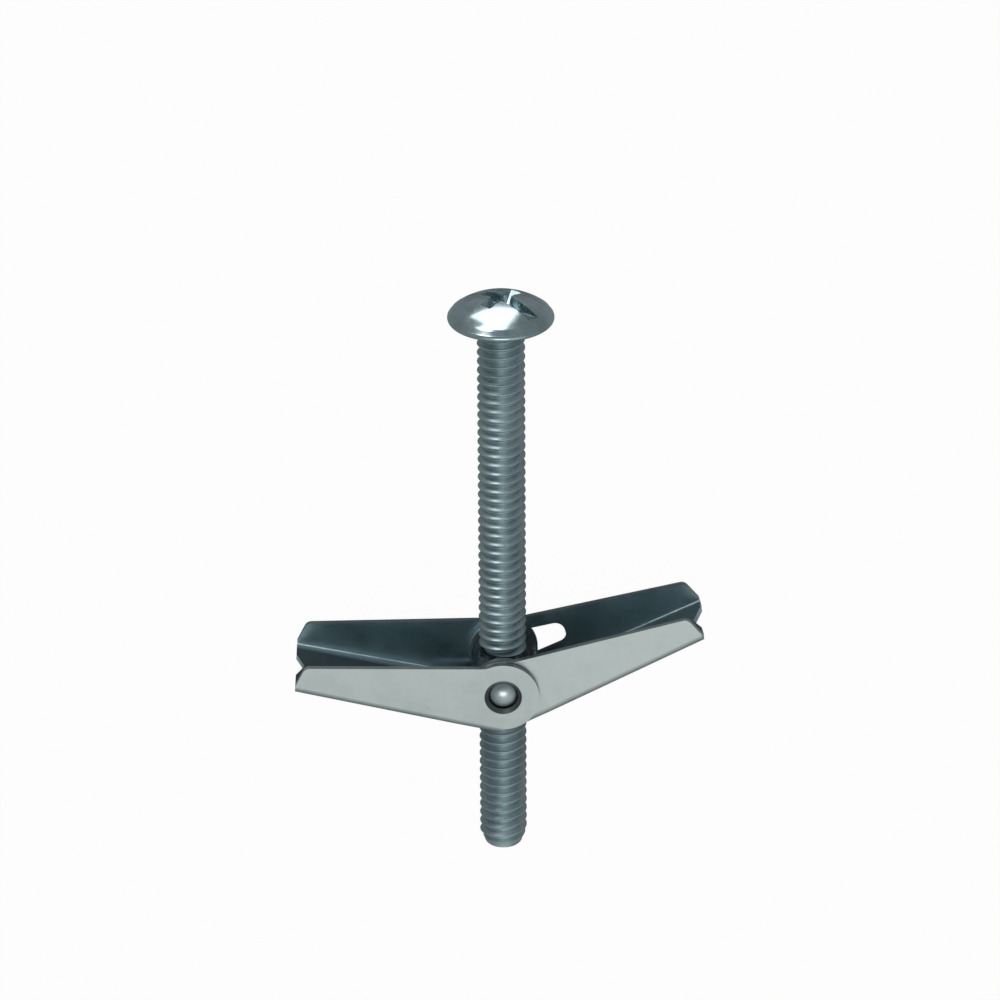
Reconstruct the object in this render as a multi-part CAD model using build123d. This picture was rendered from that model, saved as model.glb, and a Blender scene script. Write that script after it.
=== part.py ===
from build123d import *
from math import acos, atan2, ceil, cos, degrees, hypot, pi, radians, sin, sqrt, tan
import os

# A spring toggle bolt: a mushroom-head machine screw, a round cross nut with a pivot at each end,
# two folded sheet wings hinged on those pivots, and a torsion spring that holds the wings open.
# Sizes are in millimetres. The bolt lies on its side, as it comes to rest. Y runs along the screw,
# towards the head, X along the open wings, and Z along the pivots, up from the floor.
# The origin is the middle of the head's bearing face.

# Screw: a quarter inch thread, 20 to the inch
THREAD_DIAMETER = 6.35
THREAD_PITCH = 1.27
SCREW_LENGTH = 76.2
TIP_FLAT_RADIUS = 1.9
TIP_ROUND = 0.6
TIP_EDGE_RADIUS = 2.55
TIP_CHAMFER = 1.9
NECK_ROUND = 0.3

HEAD_DIAMETER = 13.7
HEAD_HEIGHT = 3.45
HEAD_EDGE = 0.95
HEAD_EDGE_ROUND = 0.4
RECESS_TURN = 42.0
SLOT_WIDTH = 1.6
SLOT_DEPTH = 1.7
CROSS_SPAN = 6.9
CROSS_ARM = 1.9
CROSS_DEPTH = 2.5
CROSS_FLOOR_SPAN = 2.6
CROSS_FLOOR_ARM = 1.0

# Nut: a barrel across the screw, turned in one piece with its two pivots
NUT_PITCHES_FROM_HEAD = 40
BARREL_WALL = 0.875
BARREL_END_WALL = 0.975
BARREL_CHAMFER = 0.3
PIVOT_RADIUS = 1.85
PIVOT_RECESS = 0.1
PIVOT_DOME = 0.65
THREAD_CLEARANCE = 0.05
MOUTH_BEVEL = 0.35

# Wings: channels folded from sheet, their webs sloping towards the top edges
SHEET = 0.8
BEND_RADIUS = 1.0
WING_LENGTH = 27.1
WEB_CLEARANCE = 0.55
WEB_SLOPE = 12.6
TIP_TOP_SETBACK = 1.4
TIP_FACE_SETBACK = 0.1
TIP_FACE_HEIGHT = 1.6
TIP_ROUNDING = 1.0
OUTER_TAPER = 1.2
INNER_TAPER = 1.7
OUTER_EAR_CLEARANCE = 0.75
INNER_EAR_CLEARANCE = 0.25
EAR_RISE = 0.2
EAR_ROUND = 2.0
NEST_GAP = 0.15
PIVOT_CLEARANCE = 0.08
HOLE_BEVEL = 0.5
STOP_GAP = 0.3
INNER_REST_ANGLE = 14.0
NOTCH_CLEARANCE = 0.425
TIP_NOTCH_DEPTH = 1.15
TIP_NOTCH_HALF_WIDTH = 3.0

# Window in the far ear of the inner wing, a slot that widens towards the pivot hole
WINDOW_TOP = 2.5
WINDOW_END = 8.8
WINDOW_END_ROUND = 1.3
WINDOW_FOOT = -1.4
WINDOW_FOOT_LENGTH = 4.3
WINDOW_SLOPE = 12.5

# Spring: one wire, a coil round each pivot, two free legs and a bridge between the coils
WIRE = 0.5
COIL_CLEARANCE = 0.5
COIL_SIDE_GAP = 0.05
COIL_END_GAP = 0.1
LEG_LENGTH = 9.0
BRIDGE_LENGTH = 8.0
LEG_SEAT_GAP = 0.1
BRIDGE_ROUND = 0.9
STEP_ANGLE = 30.0

# Worked out from the sizes above
thread_radius = THREAD_DIAMETER / 2
head_radius = HEAD_DIAMETER / 2
pivot_y = -NUT_PITCHES_FROM_HEAD * THREAD_PITCH
bore_radius = thread_radius + THREAD_CLEARANCE
barrel_radius = bore_radius + BARREL_WALL
barrel_half_length = bore_radius + BARREL_END_WALL
coil_radius = PIVOT_RADIUS + COIL_CLEARANCE + WIRE / 2
coil_space = 2 * WIRE + 2 * COIL_END_GAP + COIL_SIDE_GAP
inner_width = 2 * (barrel_half_length + coil_space + SHEET)
outer_width = inner_width + 2 * (NEST_GAP + SHEET)
ear_hole_radius = PIVOT_RADIUS + PIVOT_CLEARANCE
web_distance = barrel_radius + WEB_CLEARANCE + SHEET
outer_ear_radius = web_distance - OUTER_EAR_CLEARANCE
inner_ear_radius = web_distance - SHEET - INNER_EAR_CLEARANCE
top_edge = inner_ear_radius - EAR_RISE
web_slope = radians(WEB_SLOPE)
far_beyond = 2 * WING_LENGTH


def turned(x, y, angle):
    """The point turned about the pivot axis, anticlockwise, by an angle in degrees."""
    a = radians(angle)
    return x * cos(a) - y * sin(a), x * sin(a) + y * cos(a)


def web_height(x, distance):
    """Height of the line that lies beside the web, at a distance from the pivot axis."""
    return x * tan(web_slope) - distance / cos(web_slope)


def dome(radius, start, top):
    """The arc of a round crown, from its edge at a height of start up to the axis at a height of top."""
    rise = top - start
    curve = (radius**2 + rise**2) / (2 * rise)
    half = radius / 2
    return ThreePointArc((radius, start), (half, top - curve + sqrt(curve**2 - half**2)), (0, top))


def screw():
    """Shank, rounded tip and low domed head turned about Y, with the slot and the cross cut into it."""
    tip = -SCREW_LENGTH
    with BuildSketch(Plane.XY) as section:
        with BuildLine():
            Polyline((0, HEAD_HEIGHT), (0, tip), (TIP_FLAT_RADIUS, tip))
            ThreePointArc(
                (TIP_FLAT_RADIUS, tip),
                (TIP_EDGE_RADIUS - 0.2 * TIP_ROUND, tip + 0.4 * TIP_ROUND),
                (TIP_EDGE_RADIUS, tip + TIP_ROUND),
            )
            Polyline(
                (TIP_EDGE_RADIUS, tip + TIP_ROUND),
                (thread_radius, tip + TIP_CHAMFER),
                (thread_radius, 0),
                (head_radius, 0),
                (head_radius, HEAD_EDGE),
            )
            dome(head_radius, HEAD_EDGE, HEAD_HEIGHT)
        make_face()
    body = revolve(section.sketch, Axis.Y)
    circles = body.edges().filter_by(GeomType.CIRCLE)
    rims = circles.filter_by(lambda edge: abs(edge.radius - head_radius) < 0.01)
    body = fillet(rims, HEAD_EDGE_ROUND)
    circles = body.edges().filter_by(GeomType.CIRCLE)
    neck = circles.filter_by(lambda edge: abs(edge.radius - thread_radius) < 0.01).sort_by(Axis.Y)[-1]
    body = fillet(neck, NECK_ROUND)
    return body - Rot(0, -RECESS_TURN, 0) * recess()


def recess():
    """The combined recess: a slot across the whole head, and a cross that narrows towards its floor."""
    slot = Pos(0, HEAD_HEIGHT, 0) * Box(2 * HEAD_DIAMETER, 2 * SLOT_DEPTH, SLOT_WIDTH)
    crown = Plane(origin=(0, HEAD_HEIGHT, 0), x_dir=(1, 0, 0), z_dir=(0, 1, 0))
    cutter = slot
    for turn in (0, 90):
        mouth = crown * Rot(0, 0, turn) * Rectangle(CROSS_SPAN, CROSS_ARM)
        floor = crown.offset(-CROSS_DEPTH) * Rot(0, 0, turn) * Rectangle(CROSS_FLOOR_SPAN, CROSS_FLOOR_ARM)
        cutter += loft([mouth, floor], ruled=True)
    return cutter


def nut():
    """Barrel and pivots turned about Z in one piece, with the thread's hole through the barrel."""
    shoulder = barrel_half_length
    end = outer_width / 2 - PIVOT_RECESS
    with BuildSketch(Plane.XZ) as section:
        with BuildLine():
            Polyline(
                (0, 0),
                (barrel_radius, 0),
                (barrel_radius, shoulder - BARREL_CHAMFER),
                (barrel_radius - BARREL_CHAMFER, shoulder),
                (PIVOT_RADIUS, shoulder),
                (PIVOT_RADIUS, end - PIVOT_DOME),
            )
            dome(PIVOT_RADIUS, end - PIVOT_DOME, end)
            Line((0, end), (0, 0))
        make_face()
    half = revolve(section.sketch, Axis.Z)
    return half + mirror(half, Plane.XY) - threaded_hole()


def threaded_hole():
    """The hole through the barrel, widened a little at both mouths."""
    lip = barrel_radius - MOUTH_BEVEL
    beyond = 2 * barrel_radius
    flare = bore_radius + beyond - lip
    outline = Polyline(
        (0, -beyond),
        (flare, -beyond),
        (bore_radius, -lip),
        (bore_radius, lip),
        (flare, beyond),
        (0, beyond),
        close=True,
    )
    return revolve(make_face(outline), Axis.Y)


def channel_section(distance_along, half_width):
    """The channel's cross-section, square to the web, at a distance along it from the pivot."""
    plane = Plane(
        origin=(distance_along * cos(web_slope), distance_along * sin(web_slope), 0),
        x_dir=(0, 0, -1),
        z_dir=(cos(web_slope), sin(web_slope), 0),
    )
    inside = half_width - SHEET
    floor = SHEET - web_distance
    rise = 2 * web_distance
    shell = FilletPolyline(
        (-half_width, rise),
        (-half_width, -web_distance),
        (half_width, -web_distance),
        (half_width, rise),
        radius=BEND_RADIUS,
    )
    lining = FilletPolyline(
        (inside, rise), (inside, floor), (-inside, floor), (-inside, rise), radius=BEND_RADIUS - SHEET
    )
    ends = [Line((half_width, rise), (inside, rise)), Line((-inside, rise), (-half_width, rise))]
    return plane * make_face(shell.edges() + lining.edges() + ends)


def wing_outline(ear_radius, rest_angle):
    """The wing seen along the pivot axis, its tip towards +X: ear, top edge, slanted end, web and stop."""
    stop_x, stop_y = turned(STOP_GAP / 2, 0, -rest_angle)
    down_x, down_y = turned(0, -1, -rest_angle)
    reach = (web_height(stop_x, web_distance) - stop_y) / (down_y - down_x * tan(web_slope))
    horn = (stop_x + reach * down_x, stop_y + reach * down_y)
    top_start = (-sqrt(ear_radius**2 - top_edge**2), top_edge)
    tip_top = (WING_LENGTH - TIP_TOP_SETBACK, top_edge)
    body = make_face(
        Polyline(
            (stop_x, stop_y),
            horn,
            (WING_LENGTH, web_height(WING_LENGTH, web_distance)),
            (WING_LENGTH - TIP_FACE_SETBACK, TIP_FACE_HEIGHT),
            tip_top,
            top_start,
            close=True,
        )
    )
    outline = body + Circle(ear_radius)
    outline = fillet(outline.vertices().sort_by_distance(top_start)[0], EAR_ROUND)
    return fillet(outline.vertices().sort_by_distance(tip_top)[0], TIP_ROUNDING)


def wing(width, taper, ear_radius, rest_angle):
    """One wing with its tip towards +X, at its rest angle about the pivot axis."""
    ear_end = ear_radius / cos(web_slope)
    hub = extrude(channel_section(ear_end, width / 2), amount=-2 * ear_end)
    span = WING_LENGTH / cos(web_slope)
    run_out = (width - taper * (1 + SHEET / (span - ear_end))) / 2
    blade = loft([channel_section(ear_end, width / 2), channel_section(span + SHEET, run_out)], ruled=True)
    outline = extrude(wing_outline(ear_radius, rest_angle), amount=width, both=True)
    body = (hub + blade) & outline
    body -= Cylinder(ear_hole_radius, 2 * width)
    body -= tip_notch()
    body = Rot(0, 0, rest_angle) * body
    return body - Rot(90, 0, 0) * Cylinder(thread_radius + NOTCH_CLEARANCE, far_beyond)


def tip_notch():
    """The notch in the end of the web."""
    end = WING_LENGTH
    plan = Plane(origin=(0, 0, 0), x_dir=(1, 0, 0), z_dir=(0, 1, 0))
    corners = Polyline(
        (end - TIP_NOTCH_DEPTH, 0),
        (end, TIP_NOTCH_HALF_WIDTH),
        (end + far_beyond, TIP_NOTCH_HALF_WIDTH),
        (end + far_beyond, -TIP_NOTCH_HALF_WIDTH),
        (end, -TIP_NOTCH_HALF_WIDTH),
        close=True,
    )
    return extrude(plan * make_face(corners), amount=far_beyond, both=True)


def outer_wing():
    """The wider wing, its tip towards -X, with the holes in its ears bevelled outside."""
    body = mirror(wing(outer_width, OUTER_TAPER, outer_ear_radius, 0), Plane.YZ)
    for side in (1, -1):
        bevel = Pos(0, 0, side * (outer_width - HOLE_BEVEL) / 2) * Rot(90 - 90 * side, 0, 0)
        body -= bevel * Cone(ear_hole_radius, ear_hole_radius + HOLE_BEVEL, HOLE_BEVEL)
    return body


def inner_wing():
    """The narrower wing, its ears inside the other's, with a window in its far ear."""
    body = wing(inner_width, INNER_TAPER, inner_ear_radius, INNER_REST_ANGLE)
    return body - Rot(0, 0, INNER_REST_ANGLE) * window()


def window():
    """The slot in the far ear, from the pivot hole towards the tip: level above, rising below, round at its end."""
    low_end = WINDOW_FOOT + (WINDOW_END - WINDOW_FOOT_LENGTH) * tan(radians(WINDOW_SLOPE))
    outline = make_face(
        Polyline(
            (0, WINDOW_TOP),
            (WINDOW_END, WINDOW_TOP),
            (WINDOW_END, low_end),
            (WINDOW_FOOT_LENGTH, WINDOW_FOOT),
            (0, WINDOW_FOOT),
            close=True,
        )
    )
    corners = outline.vertices().sort_by(Axis.X)[-2:]
    end_round = min(WINDOW_END_ROUND, 0.48 * (WINDOW_TOP - low_end))
    return extrude(fillet(corners, end_round), amount=-outer_width)


def wire_seat(length):
    """Where the wire's centre lies on a web's inside, in the wing's own frame."""
    height = (WIRE / 2 + LEG_SEAT_GAP) / cos(web_slope)
    return length, web_height(length, web_distance - SHEET) + height


def spring():
    """The wire from one free leg to the middle of the bridge, then mirrored to the other side."""
    seat_x, seat_y = wire_seat(LEG_LENGTH)
    leg_end = (-seat_x, seat_y)
    bridge_end = turned(*wire_seat(BRIDGE_LENGTH), INNER_REST_ANGLE)
    ear_z = inner_width / 2 - SHEET - COIL_END_GAP - WIRE / 2
    barrel_z = barrel_half_length + COIL_END_GAP + WIRE / 2

    # the straight ends leave the coil along its tangents, below the pivot
    start = atan2(leg_end[1], leg_end[0]) + acos(coil_radius / hypot(*leg_end))
    end = atan2(bridge_end[1], bridge_end[0]) - acos(coil_radius / hypot(*bridge_end)) + 2 * pi
    steps = ceil(degrees(end - start) / STEP_ANGLE)
    step = (end - start) / steps
    points = [(*leg_end, ear_z)]
    for k in range(steps):
        angle = start + (k + 0.5) * step
        reach = coil_radius / cos(step / 2)
        z = ear_z + (barrel_z - ear_z) * (k + 0.5) / steps
        points.append((reach * cos(angle), reach * sin(angle), z))
    points += [(*bridge_end, barrel_z), (*bridge_end, 0)]
    path = FilletPolyline(*points, radius=[0.9 * coil_radius] * steps + [BRIDGE_ROUND])
    half = sweep(Plane(origin=path @ 0, z_dir=path % 0) * Circle(WIRE / 2), path=path)
    return half + mirror(half, Plane.XY)


at_pivot = Pos(0, pivot_y, 0)
pieces = {
    "screw": screw(),
    "nut": at_pivot * nut(),
    "outer_wing": at_pivot * outer_wing(),
    "inner_wing": at_pivot * inner_wing(),
    "spring": at_pivot * spring(),
}

os.makedirs("parts", exist_ok=True)
for name, piece in pieces.items():
    export_step(piece, f"parts/{name}.step")
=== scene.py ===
from math import cos, pi, radians, sin, sqrt

import bpy
from mathutils import Matrix, Vector


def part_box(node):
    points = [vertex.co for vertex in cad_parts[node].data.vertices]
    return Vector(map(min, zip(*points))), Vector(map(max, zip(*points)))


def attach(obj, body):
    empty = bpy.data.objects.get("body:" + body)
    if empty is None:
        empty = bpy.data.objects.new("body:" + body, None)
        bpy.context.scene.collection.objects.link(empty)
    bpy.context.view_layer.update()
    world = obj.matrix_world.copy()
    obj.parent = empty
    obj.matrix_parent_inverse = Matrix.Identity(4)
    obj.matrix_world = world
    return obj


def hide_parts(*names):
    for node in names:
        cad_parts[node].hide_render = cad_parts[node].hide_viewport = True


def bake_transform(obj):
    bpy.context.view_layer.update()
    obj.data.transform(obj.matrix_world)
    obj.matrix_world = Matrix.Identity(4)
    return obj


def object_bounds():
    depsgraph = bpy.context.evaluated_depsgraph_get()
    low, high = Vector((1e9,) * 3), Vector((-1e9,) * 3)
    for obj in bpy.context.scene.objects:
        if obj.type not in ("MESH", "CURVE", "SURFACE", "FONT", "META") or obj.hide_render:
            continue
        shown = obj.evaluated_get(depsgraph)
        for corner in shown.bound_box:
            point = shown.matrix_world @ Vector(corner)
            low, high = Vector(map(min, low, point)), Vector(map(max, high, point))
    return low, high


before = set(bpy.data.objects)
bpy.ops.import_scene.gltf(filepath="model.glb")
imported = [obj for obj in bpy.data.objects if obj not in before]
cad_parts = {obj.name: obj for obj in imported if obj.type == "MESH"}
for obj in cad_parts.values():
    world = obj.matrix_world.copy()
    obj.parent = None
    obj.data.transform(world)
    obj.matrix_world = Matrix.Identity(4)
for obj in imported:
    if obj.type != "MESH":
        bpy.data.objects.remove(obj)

MM = 0.001
cad_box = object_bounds()

# The bolt lies on its side: Y runs along the screw towards the head, and Z is up, along the pivots
screw_low, screw_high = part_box("screw")
nut_low, nut_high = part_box("nut")
tip_y = screw_low.y
head_radius = screw_high.x
pivot_y = (nut_low.y + nut_high.y) / 2

# Thread: a quarter inch, 20 to the inch, right-hand
PITCH = 1.27 * MM
CREST_RADIUS = 3.10 * MM
THREAD_DEPTH = 0.78 * MM
CREST_HALF_FLAT = 0.02 * MM
CREST_ROUND = ((0.03 * MM, 0.075 * MM), (0.10 * MM, 0.135 * MM))
ROOT_SHOULDER = (0.03 * MM, 0.55 * MM)
STEPS_PER_TURN = 64
TAP_OVERRUN = 3 * PITCH
SLEEVE_CLEARANCE = 0.05 * MM
SLEEVE_HALF_LENGTH = 3.72 * MM
SLEEVE_RADIUS = 3.24 * MM

# Head, tip and recess
HEAD_HEIGHT = 3.45 * MM
HEAD_EDGE = 0.88 * MM
HEAD_EDGE_ROUND = 0.46 * MM
HEAD_EDGE_BAND = 0.02 * MM
HEAD_EDGE_TOP = 60
NECK_ROUND = 0.3 * MM
NECK_LENGTH = 0.5 * MM
NECK_SINK = 0.7 * THREAD_DEPTH
TIP_FLAT_RADIUS = 1.9 * MM
TIP_ROUND = 0.6 * MM
TIP_CHAMFER = 1.9 * MM
BLANK_RADIUS = 1.2 * CREST_RADIUS
RECESS_TURN = 42
SLOT_WIDTH = 1.6 * MM
SLOT_DEPTH = 1.7 * MM
SLOT_REACH = 3
CROSS_SPAN = 6.9 * MM
CROSS_ARM = 1.9 * MM
CROSS_DEPTH = 2.5 * MM
CROSS_FLOOR_SPAN = 2.6 * MM
CROSS_FLOOR_ARM = 1.0 * MM
RECESS_LIP = 0.07 * MM
LIP_SEGMENTS = 2
LIP_ANGLE = 38
LATHE_STEPS = 96
CROWN_STEPS = 16
EDGE_STEPS = 6
ROUND_STEPS = 5

# Spring: where its two visual pieces part
COIL_EDGE = 2.95 * MM

# Mesh work
MERGE_REACH = 0.001 * MM
CUT_REACH = 1e-9
FACING = 0.9
SMOOTH_ANGLE = 32
WIRE_SMOOTH_ANGLE = 40

# Camera: looks down on the bolt from above its head
VIEW_DISTANCE = 0.8
VIEW_ELEVATION = 26.734
VIEW_TURN = -0.388
VIEW_ROLL = -0.316
VIEW_AIM = Vector((-0.228 * MM, -25.643 * MM, 0))
FOCAL_PIXELS = 6189.7
FRAME_PIXELS = 1000
SENSOR_WIDTH = 36
VIEW_REACH = 10

# Light
CEILING_GLOW = Vector((0.15, -0.45, 0.88)).normalized()
BRIGHT_CEILING = (0.76, 0.80, 0.78)
DIM_ROOM = (0.30, 0.33, 0.35)
CEILING_SPREAD = (0.62, 0.96)
FLOOR_SIZE = 1.6
FLOOR_SHADE = (0.45, 0.46, 0.47)
FLOOR_ROUGHNESS = 0.9
FLOOR_WHITENESS = 0.975
WHITE = (1, 1, 1, 1)

# Name, place, size, tilt in degrees and brightness
LAMPS = (
    ("beyond_head", (-0.003, 0.063, 0.0115), (0.022, 0.100), 201, 2.6),
    ("left_window", (-0.21, 0.50, 0.09), (0.17, 0.20), -84, 6.5),
    ("over_nut", (0, -0.158, 0.59), (0.33, 0.18), 6, 2.3),
)

# Platings: darker and lighter shade of each
SCREW_ZINC = ((0.35, 0.44, 0.46), (0.48, 0.57, 0.59))
SHEET_ZINC = ((0.38, 0.42, 0.42), (0.43, 0.47, 0.465))
NUT_ZINC = ((0.33, 0.38, 0.40), (0.42, 0.47, 0.48))
WIRE_STEEL = ((0.24, 0.26, 0.28), (0.34, 0.36, 0.38))
# Painted light and blue reflection on the inside faces of the channels
INSIDE_PAINTED_LIGHT = (0.58, 0.80, 0.86)
# Painted shade on the webs, deep in the channels
WEB_PAINTED_SHADE = (0.11, 0.12, 0.125)
# Painted highlight on the ears round the pivot and along the inner bends
PAINTED_HIGHLIGHT = (0.85, 0.94, 0.97)
# Painted shade in the gaps where the pivots sit in their holes, and how strong it is round the
# pivots' ends
PAINTED_GAP_SHADE = (0.13, 0.14, 0.14)
RIM_SHADE_AMOUNT = 0.8

# Cells a metre, detail and roughness of the clouds and speckles, and how they count
CLOUDS = (260, 3, 0.55)
SPECKLES = (2600, 2, 0.6)
GRAIN_FORM = (4, 0.62)
GRAIN_STRENGTH = 0.5
GRAIN_DEPTH = 0.006 * MM
SPECKLES_IN_TONE = 0.35
SPECKLES_IN_GLOSS = 0.5
TONE_RANGE = (0.50, 0.85)
GLOSS_RANGE = (0.55, 0.95)
GLOSS_SPREAD = 0.12
THREAD_DULLNESS = 0.19
DULLNESS_FADE = 1.5 * MM

# Where the painted light, highlights and shade on the sheet and the pivots start and end
EAR_RADIUS = 4.4 * MM
HOLE_RADIUS = 2.4 * MM
PIVOT_RADIUS = 1.9 * MM
WEB_HEIGHT = (5.2 * MM, 4.4 * MM)
WEB_FACING = (0.75, 0.95)
RIM_FACING = (0.5, 0.2)
BEND_FACING = (0.15, 0.3)
EAR_RIM = (EAR_RADIUS - 0.2 * MM, EAR_RADIUS - 0.1 * MM)
EAR_INSIDE = (EAR_RADIUS + 0.1 * MM, EAR_RADIUS + 0.02 * MM)
HOLE_EDGE = (HOLE_RADIUS + 0.06 * MM, HOLE_RADIUS + 0.02 * MM)
PIVOT_RIM = (PIVOT_RADIUS - 0.35 * MM, PIVOT_RADIUS)


def deselect():
    """Leaves edit mode, with nothing selected."""
    if bpy.context.object and bpy.context.object.mode != "OBJECT":
        bpy.ops.object.mode_set(mode="OBJECT")
    bpy.ops.object.select_all(action="DESELECT")


def take(piece):
    """Makes the piece the only selected one."""
    deselect()
    piece.select_set(True)
    bpy.context.view_layer.objects.active = piece


def settle(piece):
    """Puts the piece's place into its mesh and applies its modifiers."""
    take(piece)
    bpy.ops.object.transform_apply(location=True, rotation=True, scale=True)
    for modifier in list(piece.modifiers):
        bpy.ops.object.modifier_apply(modifier=modifier.name)
    return piece


def open_mesh(piece):
    """Enters edit mode with the whole piece selected."""
    take(piece)
    bpy.ops.object.mode_set(mode="EDIT")
    bpy.ops.mesh.select_all(action="SELECT")


def tidy_mesh(piece):
    """Merges doubles and turns the faces outwards."""
    open_mesh(piece)
    bpy.ops.mesh.remove_doubles(threshold=MERGE_REACH)
    bpy.ops.mesh.normals_make_consistent(inside=False)
    bpy.ops.object.mode_set(mode="OBJECT")
    return piece


def pick_faces(piece, wanted):
    """Enters edit mode with only the wanted faces selected."""
    take(piece)
    bpy.ops.object.mode_set(mode="EDIT")
    bpy.ops.mesh.select_mode(type="FACE")
    bpy.ops.mesh.select_all(action="DESELECT")
    bpy.ops.object.mode_set(mode="OBJECT")
    for face in piece.data.polygons:
        face.select = wanted(face)
    bpy.ops.object.mode_set(mode="EDIT")


def draw_outline(name, corners):
    """A line of edges in the XY plane, extruded from corner to corner."""
    deselect()
    bpy.ops.mesh.primitive_plane_add(size=MM, location=(*corners[0], 0))
    piece = bpy.context.object
    piece.name = name
    bpy.ops.object.mode_set(mode="EDIT")
    bpy.ops.mesh.merge(type="CENTER")
    for (x0, y0), (x1, y1) in zip(corners, corners[1:]):
        step = (x1 - x0, y1 - y0, 0)
        bpy.ops.mesh.extrude_region_move(TRANSFORM_OT_translate={"value": step})
    bpy.ops.object.mode_set(mode="OBJECT")
    bpy.ops.object.transform_apply(location=True, rotation=True, scale=True)
    return piece


def lathe(piece, steps, turns=1, climb=0.0):
    """Turns the outline about the screw's axis, with so much climb a turn."""
    turning = piece.modifiers.new("turning", "SCREW")
    turning.axis = "Y"
    turning.angle = 2 * pi
    turning.screw_offset = climb
    turning.iterations = turns
    turning.steps = steps
    turning.render_steps = steps
    return tidy_mesh(settle(piece))


def combine(piece, other, operation):
    """Cuts, keeps or joins with another solid, which is then used up."""
    change = piece.modifiers.new(operation.lower(), "BOOLEAN")
    change.operation = operation
    change.object = other
    change.solver = "EXACT"
    settle(piece)
    bpy.data.objects.remove(other)
    return piece


def arc(centre, radius, start, end, steps):
    """Points on a circle, from one angle to the other, in degrees."""
    angles = [radians(start + (end - start) * k / steps) for k in range(steps + 1)]
    return [(centre[0] + radius * cos(a), centre[1] + radius * sin(a)) for a in angles]


def threaded_rod(name, start, end, clearance=0.0):
    """A rod with the thread's full form between two heights, flat at both ends."""
    crest = CREST_RADIUS + clearance
    root = crest - THREAD_DEPTH
    hollow, foot = ROOT_SHOULDER
    shoulders = [(crest - drop, across) for drop, across in CREST_ROUND]
    half = [(crest, CREST_HALF_FLAT), *shoulders, (root + hollow, foot), (root, PITCH / 2)]
    first = round(start / PITCH) - 1
    turns = round(end / PITCH) + 1 - first
    form = [(x, -y) for x, y in reversed(half)] + half
    outline = draw_outline(name, [(x, y + first * PITCH) for x, y in form])
    rod = lathe(outline, STEPS_PER_TURN, turns, PITCH)
    for height, outwards in ((start, -1), (end, 1)):
        open_mesh(rod)
        bpy.ops.mesh.bisect(
            plane_co=(0, height, 0),
            plane_no=(0, outwards, 0),
            clear_outer=True,
            use_fill=True,
            threshold=CUT_REACH,
        )
        bpy.ops.object.mode_set(mode="OBJECT")
    return tidy_mesh(rod)


def blank_outline():
    """Half the shank's envelope: the tip's flat, its round and chamfer, and the side."""
    tip_centre = (TIP_FLAT_RADIUS, tip_y + TIP_ROUND)
    corner = arc(tip_centre, TIP_ROUND, -90, 0, ROUND_STEPS)
    return [
        (0, tip_y),
        *corner,
        (CREST_RADIUS, tip_y + TIP_CHAMFER),
        (BLANK_RADIUS, tip_y + TIP_CHAMFER),
        (BLANK_RADIUS, HEAD_EDGE),
        (0, HEAD_EDGE),
    ]


def head_outline():
    """Half the head's section: crown, rounded edge, bearing face and the neck's round."""
    rise = HEAD_HEIGHT - HEAD_EDGE
    curve = (head_radius**2 + rise**2) / (2 * rise)
    centre_y = HEAD_HEIGHT - curve
    edge_x = head_radius - HEAD_EDGE_ROUND
    crown = []
    for k in range(CROWN_STEPS + 1):
        x = edge_x * k / CROWN_STEPS
        crown.append((x, centre_y + sqrt(curve**2 - x**2)))
    low = arc((edge_x, HEAD_EDGE_ROUND), HEAD_EDGE_ROUND, 0, -90, EDGE_STEPS)
    high_centre = (edge_x, HEAD_EDGE_ROUND + HEAD_EDGE_BAND)
    high = arc(high_centre, HEAD_EDGE_ROUND, HEAD_EDGE_TOP, 0, EDGE_STEPS)
    neck_centre = (CREST_RADIUS + NECK_ROUND, -NECK_ROUND)
    neck = arc(neck_centre, NECK_ROUND, 90, 180, ROUND_STEPS)
    return [
        *crown,
        *high,
        *low,
        *neck,
        (CREST_RADIUS - NECK_SINK, -NECK_LENGTH - PITCH / 2),
        (0, -NECK_LENGTH - PITCH / 2),
    ]


def recess_bar(name, mouth, floor, depth, turn):
    """One bar of the recess's cutter: it hangs from the crown and narrows towards its floor."""
    deselect()
    bpy.ops.mesh.primitive_cube_add(size=1, location=(0, HEAD_HEIGHT - depth / 2, 0))
    bar = bpy.context.object
    bar.name = name
    bar.scale = (mouth[0], depth, mouth[1])
    settle(bar)
    pick_faces(bar, lambda face: face.normal.y < -FACING)
    bpy.ops.transform.resize(value=(floor[0] / mouth[0], 1, floor[1] / mouth[1]))
    pick_faces(bar, lambda face: face.normal.y > FACING)
    bpy.ops.mesh.extrude_region_move(TRANSFORM_OT_translate={"value": (0, MM, 0)})
    bpy.ops.object.mode_set(mode="OBJECT")
    bar.rotation_euler = (0, radians(turn), 0)
    return tidy_mesh(settle(bar))


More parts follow.
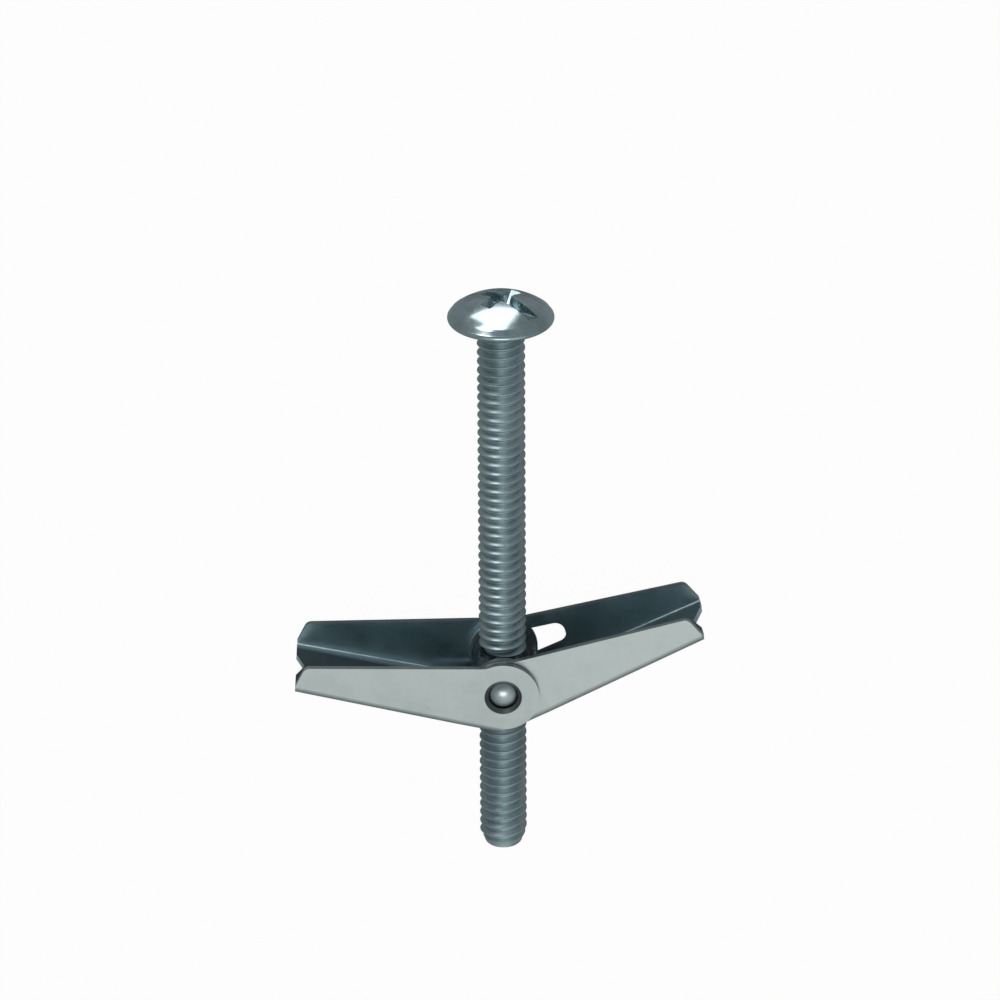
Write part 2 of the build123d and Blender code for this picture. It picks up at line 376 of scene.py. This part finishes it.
def make_screw():
    """Rolled thread, chamfered tip and mushroom head with the combined recess."""
    shank = threaded_rod("machine_screw", tip_y, HEAD_EDGE / 2)
    envelope = lathe(draw_outline("envelope", blank_outline()), LATHE_STEPS)
    shank = combine(shank, envelope, "INTERSECT")
    head = lathe(draw_outline("head", head_outline()), LATHE_STEPS)
    slot_size = (SLOT_REACH * head_radius, SLOT_WIDTH)
    cross_mouth = (CROSS_SPAN, CROSS_ARM)
    cross_floor = (CROSS_FLOOR_SPAN, CROSS_FLOOR_ARM)
    for name, mouth, floor, depth, turn in (
        ("slot", slot_size, slot_size, SLOT_DEPTH, -RECESS_TURN),
        ("cross_long", cross_mouth, cross_floor, CROSS_DEPTH, -RECESS_TURN),
        ("cross_short", cross_mouth, cross_floor, CROSS_DEPTH, 90 - RECESS_TURN),
    ):
        head = combine(head, recess_bar(name, mouth, floor, depth, turn), "DIFFERENCE")
    lip = head.modifiers.new("lip", "BEVEL")
    lip.width = RECESS_LIP
    lip.segments = LIP_SEGMENTS
    lip.limit_method = "ANGLE"
    lip.angle_limit = radians(LIP_ANGLE)
    settle(head)
    screw = combine(shank, head, "UNION")
    take(screw)
    bpy.ops.object.shade_smooth_by_angle(angle=radians(SMOOTH_ANGLE))
    return screw


def make_sleeve():
    """Meant as the nut's thread, a lining of its bore.

    Blender still picks faces here, so the tap's outline isn't drawn and the piece stays solid.
    """
    deselect()
    bpy.ops.mesh.primitive_cylinder_add(
        vertices=LATHE_STEPS,
        radius=SLEEVE_RADIUS,
        depth=2 * SLEEVE_HALF_LENGTH,
        location=(0, pivot_y, 0),
        rotation=(pi / 2, 0, 0),
    )
    sleeve = bpy.context.object
    sleeve.name = "nut_thread"
    settle(sleeve)
    start = pivot_y - SLEEVE_HALF_LENGTH - TAP_OVERRUN
    end = pivot_y + SLEEVE_HALF_LENGTH + TAP_OVERRUN
    tap = threaded_rod("tap", start, end, SLEEVE_CLEARANCE)
    combine(sleeve, tap, "DIFFERENCE")
    take(sleeve)
    bpy.ops.object.shade_smooth_by_angle(angle=radians(SMOOTH_ANGLE))
    return sleeve


def copy_node(node, name):
    """A merged copy of a CAD node, to be shaped further."""
    deselect()
    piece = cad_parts[node].copy()
    piece.data = piece.data.copy()
    piece.name = name
    piece.parent = None
    for key in list(piece.keys()):
        del piece[key]
    bpy.context.scene.collection.objects.link(piece)
    open_mesh(piece)
    bpy.ops.mesh.remove_doubles(threshold=MERGE_REACH)
    bpy.ops.object.mode_set(mode="OBJECT")
    return piece


def cut_spring(name, place, keep_side):
    """The part of the spring on one side of a plane across X, left open at the cut."""
    piece = copy_node("spring", name)
    open_mesh(piece)
    bpy.ops.mesh.bisect(
        plane_co=(place, 0, 0),
        plane_no=(-keep_side, 0, 0),
        clear_outer=True,
        threshold=CUT_REACH,
    )
    bpy.ops.object.mode_set(mode="OBJECT")
    bpy.ops.object.shade_smooth_by_angle(angle=radians(WIRE_SMOOTH_ANGLE))
    return piece


class Value:
    """A shader value that takes part in plain sums."""

    def __init__(self, finish, socket):
        self.finish = finish
        self.socket = socket

    def sum(self, operation, first, second):
        return self.finish.node(
            "ShaderNodeMath", {"operation": operation}, {0: first, 1: second}
        )

    def __add__(self, other):
        return self.sum("ADD", self, other)

    def __sub__(self, other):
        return self.sum("SUBTRACT", self, other)

    def __rsub__(self, other):
        return self.sum("SUBTRACT", other, self)

    def __mul__(self, other):
        return self.sum("MULTIPLY", self, other)

    __radd__ = __add__
    __rmul__ = __mul__


class Finish:
    """A material and the way its nodes are added."""

    def __init__(self, name):
        self.material = bpy.data.materials.new(name)
        self.material.use_nodes = True
        self.tree = self.material.node_tree
        self.shader = self.tree.nodes["Principled BSDF"]
        self.place = self.node("ShaderNodeTexCoord", {}, {}, "Object")

    def node(self, kind, settings, inputs, output=0):
        """Adds a node, makes its settings, then fills or links its sockets."""
        added = self.tree.nodes.new(kind)
        for key, value in settings.items():
            setattr(added, key, value)
        for key, value in inputs.items():
            if isinstance(value, Value):
                self.tree.links.new(value.socket, added.inputs[key])
            else:
                added.inputs[key].default_value = value
        return Value(self, added.outputs[output])

    def noise(self, scale, detail=3.0, roughness=0.5, stretch=(1, 1, 1)):
        """Noise of so many cells a metre, drawn out along the axes."""
        spread = self.node("ShaderNodeMapping", {}, {"Vector": self.place, "Scale": stretch})
        return self.node(
            "ShaderNodeTexNoise",
            {},
            {"Vector": spread, "Scale": scale, "Detail": detail, "Roughness": roughness},
        )

    def spread(self, value, low, high, to_low=0.0, to_high=1.0):
        """The value's range moved to another one, and held there."""
        return self.node(
            "ShaderNodeMapRange",
            {"clamp": True},
            {
                "Value": value,
                "From Min": low,
                "From Max": high,
                "To Min": to_low,
                "To Max": to_high,
            },
        )

    def most(self, first, second):
        """The larger of two values."""
        return self.node("ShaderNodeMath", {"operation": "MAXIMUM"}, {0: first, 1: second})

    def part(self, vector, axis):
        """One coordinate of a place or a direction."""
        return self.node("ShaderNodeSeparateXYZ", {}, {"Vector": vector}, axis)

    def reach_from_pivot(self):
        """Distance from the line through both pivots."""
        kind = "ShaderNodeVectorMath"
        to_pivot = (0, -pivot_y, 0)
        centred = self.node(kind, {"operation": "ADD"}, {0: self.place, 1: to_pivot})
        flat = self.node(kind, {"operation": "MULTIPLY"}, {0: centred, 1: (1, 1, 0)})
        return self.node(kind, {"operation": "LENGTH"}, {0: flat}, "Value")

    def blend(self, factor, first, second):
        """From the first colour to the second by the factor."""
        return self.node(
            "ShaderNodeMix", {"data_type": "RGBA"}, {0: factor, 6: first, 7: second}, 2
        )

    def wear(self, **sockets):
        """Fills the shader's own sockets."""
        for name, value in sockets.items():
            socket = self.shader.inputs[name.replace("_", " ")]
            if isinstance(value, Value):
                self.tree.links.new(value.socket, socket)
            else:
                socket.default_value = value


class Plating(Finish):
    """Bright zinc: a bluish metal, cloudy and a little grained."""

    def __init__(self, name, shade, cloud, gloss, grain, stretch=(1, 1, 1)):
        super().__init__(name)
        clouds = self.noise(*CLOUDS)
        fine = self.noise(*SPECKLES, stretch)
        tone = self.spread(clouds + SPECKLES_IN_TONE * fine, *TONE_RANGE)
        self.colour = self.blend(tone, (*shade, 1), (*cloud, 1))
        shine = clouds + SPECKLES_IN_GLOSS * fine
        self.gloss = self.spread(shine, *GLOSS_RANGE, gloss, gloss + GLOSS_SPREAD)
        height = self.noise(grain, *GRAIN_FORM, stretch)
        self.grain = self.node(
            "ShaderNodeBump",
            {},
            {"Strength": GRAIN_STRENGTH, "Distance": GRAIN_DEPTH, "Height": height},
        )

    def done(self):
        """Fills the shader and hands over the material."""
        self.wear(
            Base_Color=self.colour, Metallic=1.0, Roughness=self.gloss, Normal=self.grain
        )
        return self.material


def screw_plating():
    """Duller on the rolled thread than on the head."""
    finish = Plating("bright_zinc_screw", *SCREW_ZINC, gloss=0.16, grain=5200)
    height = finish.part(finish.place, "Y")
    finish.gloss = finish.gloss + finish.spread(
        height, -DULLNESS_FADE, 0, THREAD_DULLNESS, 0
    )
    return finish.done()


def sheet_plating():
    """Grey outside; painted light and blue reflection inside the channels, painted shade on the
    webs, painted highlights round the pivot and along the bends, and painted shade at the holes'
    edges.
    """
    finish = Plating(
        "bright_zinc_sheet", *SHEET_ZINC, gloss=0.30, grain=3800, stretch=(0.22, 1, 1)
    )
    facing = finish.node("ShaderNodeTexCoord", {}, {}, "Normal")
    across = finish.part(facing, "Z")
    ahead = finish.part(facing, "Y")
    # Inside faces of the channels: painted light and blue reflection
    inwards = finish.part(finish.place, "Z") * across
    inside = finish.spread(inwards, 0, -MM)
    finish.colour = finish.blend(inside, finish.colour, (*INSIDE_PAINTED_LIGHT, 1))
    # Webs: painted shade
    height = finish.part(finish.place, "Z")
    between = finish.spread(finish.most(height, 0 - height), *WEB_HEIGHT)
    web = finish.spread(ahead, *WEB_FACING) * between
    finish.colour = finish.blend(web, finish.colour, (*WEB_PAINTED_SHADE, 1))
    # Ears round the pivot and the inner bends: painted highlight and painted light
    reach = finish.reach_from_pivot()
    rim = finish.spread(across * across, *RIM_FACING) * finish.spread(reach, *EAR_RIM)
    ear_highlight = finish.spread(reach, *EAR_INSIDE) * finish.most(inside, rim)
    bend = finish.spread(ahead * across * across, *BEND_FACING)
    bright = finish.most(ear_highlight, bend)
    finish.colour = finish.blend(bright, finish.colour, (*PAINTED_HIGHLIGHT, 1))
    # Hole edges: painted shade in the gap round the pivots
    hole = finish.spread(reach, *HOLE_EDGE)
    finish.colour = finish.blend(hole, finish.colour, (*PAINTED_GAP_SHADE, 1))
    return finish.done()


def nut_plating():
    """Bright on the pivots' ends, with painted shade round their rims."""
    finish = Plating("bright_zinc_nut", *NUT_ZINC, gloss=0.17, grain=5200)
    # Rims of the pivots' ends: painted shade
    rim = finish.spread(finish.reach_from_pivot(), *PIVOT_RIM)
    finish.colour = finish.blend(RIM_SHADE_AMOUNT * rim, finish.colour, (*PAINTED_GAP_SHADE, 1))
    return finish.done()


def dress(piece, material):
    """Gives the whole piece one material."""
    piece.data.materials.clear()
    piece.data.materials.append(material)
    return piece


screw_zinc = screw_plating()
sheet_zinc = sheet_plating()
nut_zinc = nut_plating()
wire_steel = Plating("drawn_wire", *WIRE_STEEL, gloss=0.28, grain=6500).done()

screw = dress(make_screw(), screw_zinc)
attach(screw, "bolt")
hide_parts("screw")

sleeve = dress(make_sleeve(), nut_zinc)
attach(sleeve, "nut")

legs = dress(cut_spring("spring_legs", -COIL_EDGE, -1), wire_steel)
coil = dress(cut_spring("spring_coil", -COIL_EDGE, 1), wire_steel)
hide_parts("spring")
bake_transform(legs)
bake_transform(coil)

for node, material in (("nut", nut_zinc), ("outer_wing", sheet_zinc), ("inner_wing", sheet_zinc)):
    dress(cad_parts[node], material)


def add_camera():
    """The photograph's viewpoint, with the head at the top of the picture."""
    turn, rise, roll = (radians(a) for a in (VIEW_TURN, VIEW_ELEVATION, VIEW_ROLL))
    back = Vector((sin(turn) * cos(rise), sin(rise), cos(turn) * cos(rise)))
    right = Vector((0, 1, 0)).cross(back).normalized()
    up = back.cross(right)
    level_right = right * cos(roll) + up * sin(roll)
    level_up = up * cos(roll) - right * sin(roll)
    lens = bpy.data.cameras.new("view")
    lens.sensor_width = SENSOR_WIDTH
    lens.lens = SENSOR_WIDTH * FOCAL_PIXELS / FRAME_PIXELS
    lens.clip_end = VIEW_REACH
    camera = bpy.data.objects.new("view", lens)
    bpy.context.scene.collection.objects.link(camera)
    axes = Matrix((level_right, level_up, back)).transposed().to_4x4()
    camera.matrix_world = Matrix.Translation(VIEW_AIM + VIEW_DISTANCE * back) @ axes
    bpy.context.scene.camera = camera


def add_soft_light(name, place, size, tilt, brightness):
    """An oblong lamp, hidden from the camera, turned about X from pointing straight down."""
    lamp = bpy.data.lights.new(name, "AREA")
    lamp.shape = "RECTANGLE"
    lamp.size, lamp.size_y = size
    lamp.energy = brightness * pi * size[0] * size[1]
    light = bpy.data.objects.new(name, lamp)
    bpy.context.scene.collection.objects.link(light)
    light.location = place
    light.rotation_euler = (radians(tilt), 0, 0)
    light.visible_camera = False


def add_floor():
    """A pale floor that looks white to the camera and keeps a soft shadow."""
    deselect()
    bpy.ops.mesh.primitive_plane_add(
        size=FLOOR_SIZE, location=(0, pivot_y / 2, cad_box[0][2])
    )
    floor = bpy.context.object
    floor.name = "floor"
    finish = Finish("pale_floor")
    finish.wear(Base_Color=(*FLOOR_SHADE, 1), Roughness=FLOOR_ROUGHNESS)
    path = finish.node("ShaderNodeLightPath", {}, {}, "Is Camera Ray")
    glow = finish.node("ShaderNodeEmission", {}, {"Color": WHITE, "Strength": 1.0})
    matt = Value(finish, finish.shader.outputs[0])
    seen = finish.node(
        "ShaderNodeMixShader", {}, {0: path * FLOOR_WHITENESS, 1: matt, 2: glow}
    )
    output = finish.tree.nodes["Material Output"]
    finish.tree.links.new(seen.socket, output.inputs["Surface"])
    floor.data.materials.append(finish.material)


class Room(Finish):
    """The world's own nodes, added the same way."""

    def __init__(self, name):
        self.world = bpy.data.worlds.new(name)
        self.world.use_nodes = True
        self.tree = self.world.node_tree
        self.shader = self.tree.nodes["Background"]
        self.place = self.node("ShaderNodeTexCoord", {}, {}, "Generated")


def light_room():
    """Dim light from all round, brighter from one part of the ceiling, and white behind."""
    room = Room("room")
    bpy.context.scene.world = room.world
    towards = room.node(
        "ShaderNodeVectorMath",
        {"operation": "DOT_PRODUCT"},
        {0: room.place, 1: CEILING_GLOW},
        "Value",
    )
    ceiling = room.spread(towards, *CEILING_SPREAD)
    seen = room.node("ShaderNodeLightPath", {}, {}, "Is Camera Ray")
    colour = room.blend(ceiling, (*DIM_ROOM, 1), (*BRIGHT_CEILING, 1))
    room.wear(Color=room.blend(seen, colour, WHITE), Strength=1.0)


add_camera()
add_floor()
light_room()
for lamp in LAMPS:
    add_soft_light(*lamp)

bpy.context.scene.view_settings.view_transform = "Standard"
